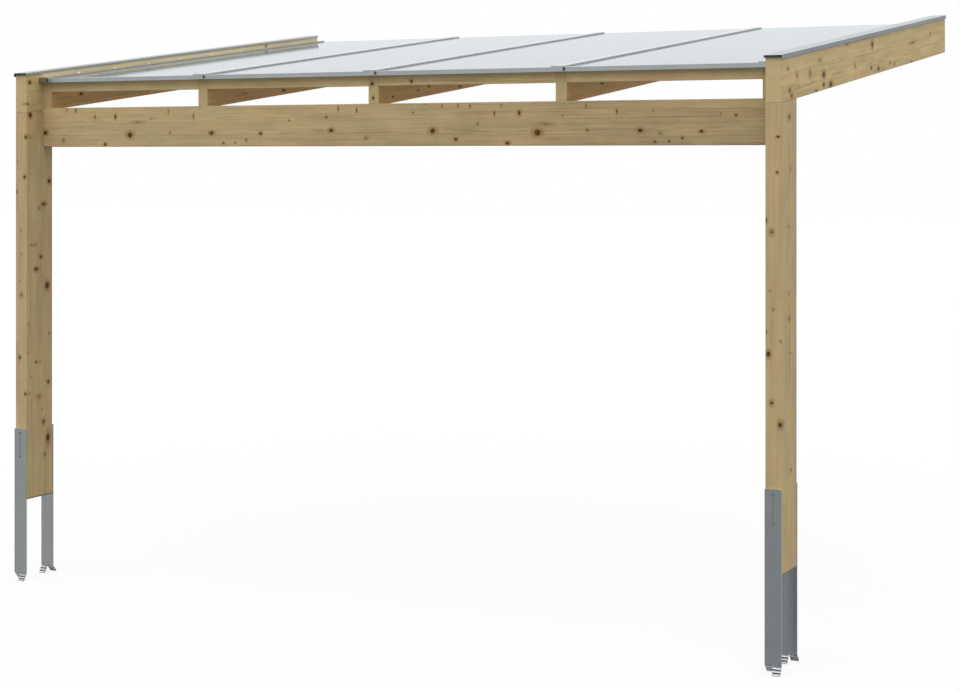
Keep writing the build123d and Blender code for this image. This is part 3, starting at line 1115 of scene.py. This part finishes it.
# Screws down the middle of the glazing bars, and a plug in each stop over the bar's screw port
SCREW_SIZE = 0.0075
SCREW_HEIGHT = 0.0035
SCREW_SPACING = 1 / 3
FIRST_SCREW = 0.315
PLUG_ASIDE = 0.031
PLUG_HALF_WIDTH = 0.0060
PLUG_HALF_HEIGHT = 0.0100
PLUG_DROP = 0.0165
PLUG_PROFILE = ((1.0, -0.0005), (1.0, 0.0002), (0.92, 0.0006), (0.0, 0.0006))
PLUG_SIDES = 28
for number in RAFTERS:
    low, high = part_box(f"glazing_bar_{number}")
    stop_low, stop_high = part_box(f"end_stop_{number}")
    bar_middle_x = (low.x + high.x) / 2
    front_top = front_top_of(f"glazing_bar_{number}")
    screws = bmesh.new()
    reach = FIRST_SCREW
    while low.y + reach < high.y - FIRST_SCREW / 2:
        spot = Vector((bar_middle_x, low.y + reach, front_top + SLOPE * reach))
        pan_screw(screws, spot, OFF_SLOPE, SCREW_SIZE, SCREW_HEIGHT)
        reach += SCREW_SPACING
    finish_piece(screws, f"glazing_bar_screws_{number}", bright_steel)
    plug_x = bar_middle_x + PLUG_ASIDE
    if plug_x + PLUG_HALF_WIDTH < stop_high.x:
        spot = Vector((plug_x, stop_low.y, stop_high.z - PLUG_DROP))
        plug = bmesh.new()
        turned(plug, spot, -Y_AXIS, PLUG_PROFILE, PLUG_SIDES)
        for vertex in plug.verts:
            vertex.co.x = spot.x + (vertex.co.x - spot.x) * PLUG_HALF_WIDTH
            vertex.co.z = spot.z + (vertex.co.z - spot.z) * PLUG_HALF_HEIGHT
        finish_piece(plug, f"bar_end_plug_{number}", black_seal)

# Black seals under the front ends of the rafter caps, partly a seal and partly a dark strip
# standing for the shadow in the gap under each cap's front
CAP_OVERHANG = 0.010
CAP_THICKNESS = 0.002
SEAL_AND_SHADOW_HEIGHT = 0.010
SEAL_AND_SHADOW_CLEARANCE = 0.0002
for side in ("left", "right"):
    low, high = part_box(f"{side}_rafter_cap")
    front_top = front_top_of(f"{side}_rafter_cap") - CAP_THICKNESS
    seal = bmesh.new()
    slab(
        seal,
        low.x + CAP_THICKNESS + SEAL_AND_SHADOW_CLEARANCE,
        high.x - CAP_THICKNESS - SEAL_AND_SHADOW_CLEARANCE,
        low.y + CAP_THICKNESS / 2,
        low.y + CAP_OVERHANG - SEAL_AND_SHADOW_CLEARANCE,
        front_top - SEAL_AND_SHADOW_HEIGHT,
        front_top - SEAL_AND_SHADOW_CLEARANCE,
    )
    finish_piece(seal, f"{side}_cap_seal_and_shadow", black_seal, SEAL_AND_SHADOW_EDGE)

# Webs inside the roof sheets
SHEET_CELL = 0.016
WEB_HALF = 0.0004
WEB_SETBACK = 0.001
SKIN = 0.0008
for number in BAYS:
    low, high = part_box(f"roof_sheet_{number}")
    front_top = front_top_of(f"roof_sheet_{number}")
    cells = round((high.x - low.x) / SHEET_CELL)
    webs = bmesh.new()
    for index in range(1, cells):
        x = low.x + (high.x - low.x) * index / cells
        slab(
            webs,
            x - WEB_HALF,
            x + WEB_HALF,
            low.y + WEB_SETBACK,
            high.y - WEB_SETBACK,
            low.z + SKIN,
            front_top - SKIN,
        )
    finish_piece(webs, f"roof_sheet_webs_{number}", milky_web)

# Nails in the joist hangers, three by two in each cheek and four in each flange
HANGER_THICKNESS = 0.002
NAIL_SIZE = 0.0035
NAIL_HEIGHT = 0.0012
CHEEK_NAILS_ALONG = (0.020, 0.045)
CHEEK_NAILS_UP = (0.022, 0.048, 0.074)
FLANGE_NAILS_UP = (0.020, 0.042, 0.064, 0.086)
FLANGE_NAILS_ASIDE = 0.018
ledger_low = low_of("wall_ledger")
for number in HUNG_RAFTERS:
    low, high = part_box(f"joist_hanger_{number}")
    rafter_low, rafter_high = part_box(f"rafter_{number}")
    nails = bmesh.new()
    for outwards, cheek_x in (
        (-X_AXIS, rafter_low.x - HANGER_THICKNESS),
        (X_AXIS, rafter_high.x + HANGER_THICKNESS),
    ):
        for along in CHEEK_NAILS_ALONG:
            for up in CHEEK_NAILS_UP:
                spot = Vector((cheek_x, low.y + along, low.z + SLOPE * along + up))
                pan_screw(nails, spot, outwards, NAIL_SIZE, NAIL_HEIGHT)
        for up in FLANGE_NAILS_UP:
            flange_x = cheek_x + outwards.x * FLANGE_NAILS_ASIDE
            spot = Vector((flange_x, ledger_low.y - HANGER_THICKNESS, ledger_low.z + up))
            pan_screw(nails, spot, -Y_AXIS, NAIL_SIZE, NAIL_HEIGHT)
    finish_piece(nails, f"hanger_nails_{number}", bright_steel)

# Coach screws that hold the ledger on the wall, two in each bay: share of the bay, and height
COACH_SCREW_SIZE = 0.0095
COACH_SCREWS = ((0.25, 0.055), (0.75, 0.110))
coach_screws = bmesh.new()
for number in BAYS:
    bay_low = high_of(f"rafter_{number}").x
    bay_high = low_of(f"rafter_{number + 1}").x
    for share, up in COACH_SCREWS:
        spot = Vector((bay_low + (bay_high - bay_low) * share, ledger_low.y, ledger_low.z + up))
        hex_bolt(coach_screws, spot, -Y_AXIS, COACH_SCREW_SIZE)
finish_piece(coach_screws, "ledger_coach_screws", bright_steel)

# Camera
camera_data = bpy.data.cameras.new("camera")
camera_data.sensor_width = SENSOR_WIDTH
camera_data.lens = SENSOR_WIDTH * FOCAL_PIXELS / IMAGE_WIDTH
camera_data.shift_x = (IMAGE_WIDTH / 2 - CENTRE_COLUMN) / IMAGE_WIDTH
camera_data.shift_y = (HORIZON_ROW - IMAGE_HEIGHT / 2) / IMAGE_WIDTH
camera = bpy.data.objects.new("camera", camera_data)
camera.location = CAMERA_PLACE
camera.rotation_euler = (math.radians(90.0), 0.0, CAMERA_TURN)
bpy.context.scene.collection.objects.link(camera)
bpy.context.scene.camera = camera

# Stage: a sky that is brightest overhead, one weak soft sun, and a floor that keeps a soft
# shadow. Camera, glossy and transmission rays see a plain white backdrop.
SKY_AT_HORIZON = 0.62
SKY_OVERHEAD = 2.0
SUN_STRENGTH = 1.0
SUN_SPREAD = math.radians(60.0)
TOWARDS_SUN = Vector((0.1, -0.95, 1.5))
FLOOR_HALF = 60.0
FLOOR_COLOUR = (0.27, 0.265, 0.26, 1.0)
SHOWN_FLOOR_COLOUR = (0.58, 0.58, 0.58, 1.0)
SHOWN_GLOW = 0.88
WHITE = (1.0, 1.0, 1.0, 1.0)

world = bpy.data.worlds.new("world")
world.use_nodes = True
bpy.context.scene.world = world
sky = Tree(world.node_tree)
direction = sky.node("ShaderNodeTexCoord", {}, "Generated")
height = sky.separate(direction)[2]
light = sky.ranged(height, 0.0, 1.0, SKY_AT_HORIZON, SKY_OVERHEAD)
strength = sky.node("ShaderNodeMix", {0: sky.seen(), 2: light, 3: 1.0}, data_type="FLOAT")
background = sky.node("ShaderNodeBackground", {"Color": WHITE, "Strength": strength})
sky.add("ShaderNodeOutputWorld", {"Surface": background})

sun_data = bpy.data.lights.new("sun", "SUN")
sun_data.energy = SUN_STRENGTH
sun_data.angle = SUN_SPREAD
sun = bpy.data.objects.new("sun", sun_data)
sun.rotation_euler = TOWARDS_SUN.to_track_quat("Z", "Y").to_euler()
bpy.context.scene.collection.objects.link(sun)

floor_z = cad_box[0].z
floor_mesh = bpy.data.meshes.new("floor")
floor_mesh.from_pydata(
    [(x * FLOOR_HALF, y * FLOOR_HALF, floor_z) for x, y in ((-1, -1), (1, -1), (1, 1), (-1, 1))],
    [],
    [(0, 1, 2, 3)],
)
floor = bpy.data.objects.new("floor", floor_mesh)
bpy.context.scene.collection.objects.link(floor)
floor_material, tree = new_material("floor")
seen = tree.seen()
floor_colour = tree.mix(seen, FLOOR_COLOUR, SHOWN_FLOOR_COLOUR)
matt = tree.node("ShaderNodeBsdfDiffuse", {"Color": floor_colour})
glow = tree.node("ShaderNodeEmission", {"Color": WHITE, "Strength": 1.0})
glow_share = tree.math("MULTIPLY", seen, SHOWN_GLOW)
tree.finish_surface(tree.node("ShaderNodeMixShader", {0: glow_share, 1: matt, 2: glow}))
floor_mesh.materials.append(floor_material)

bpy.context.scene.view_settings.view_transform = "Standard"
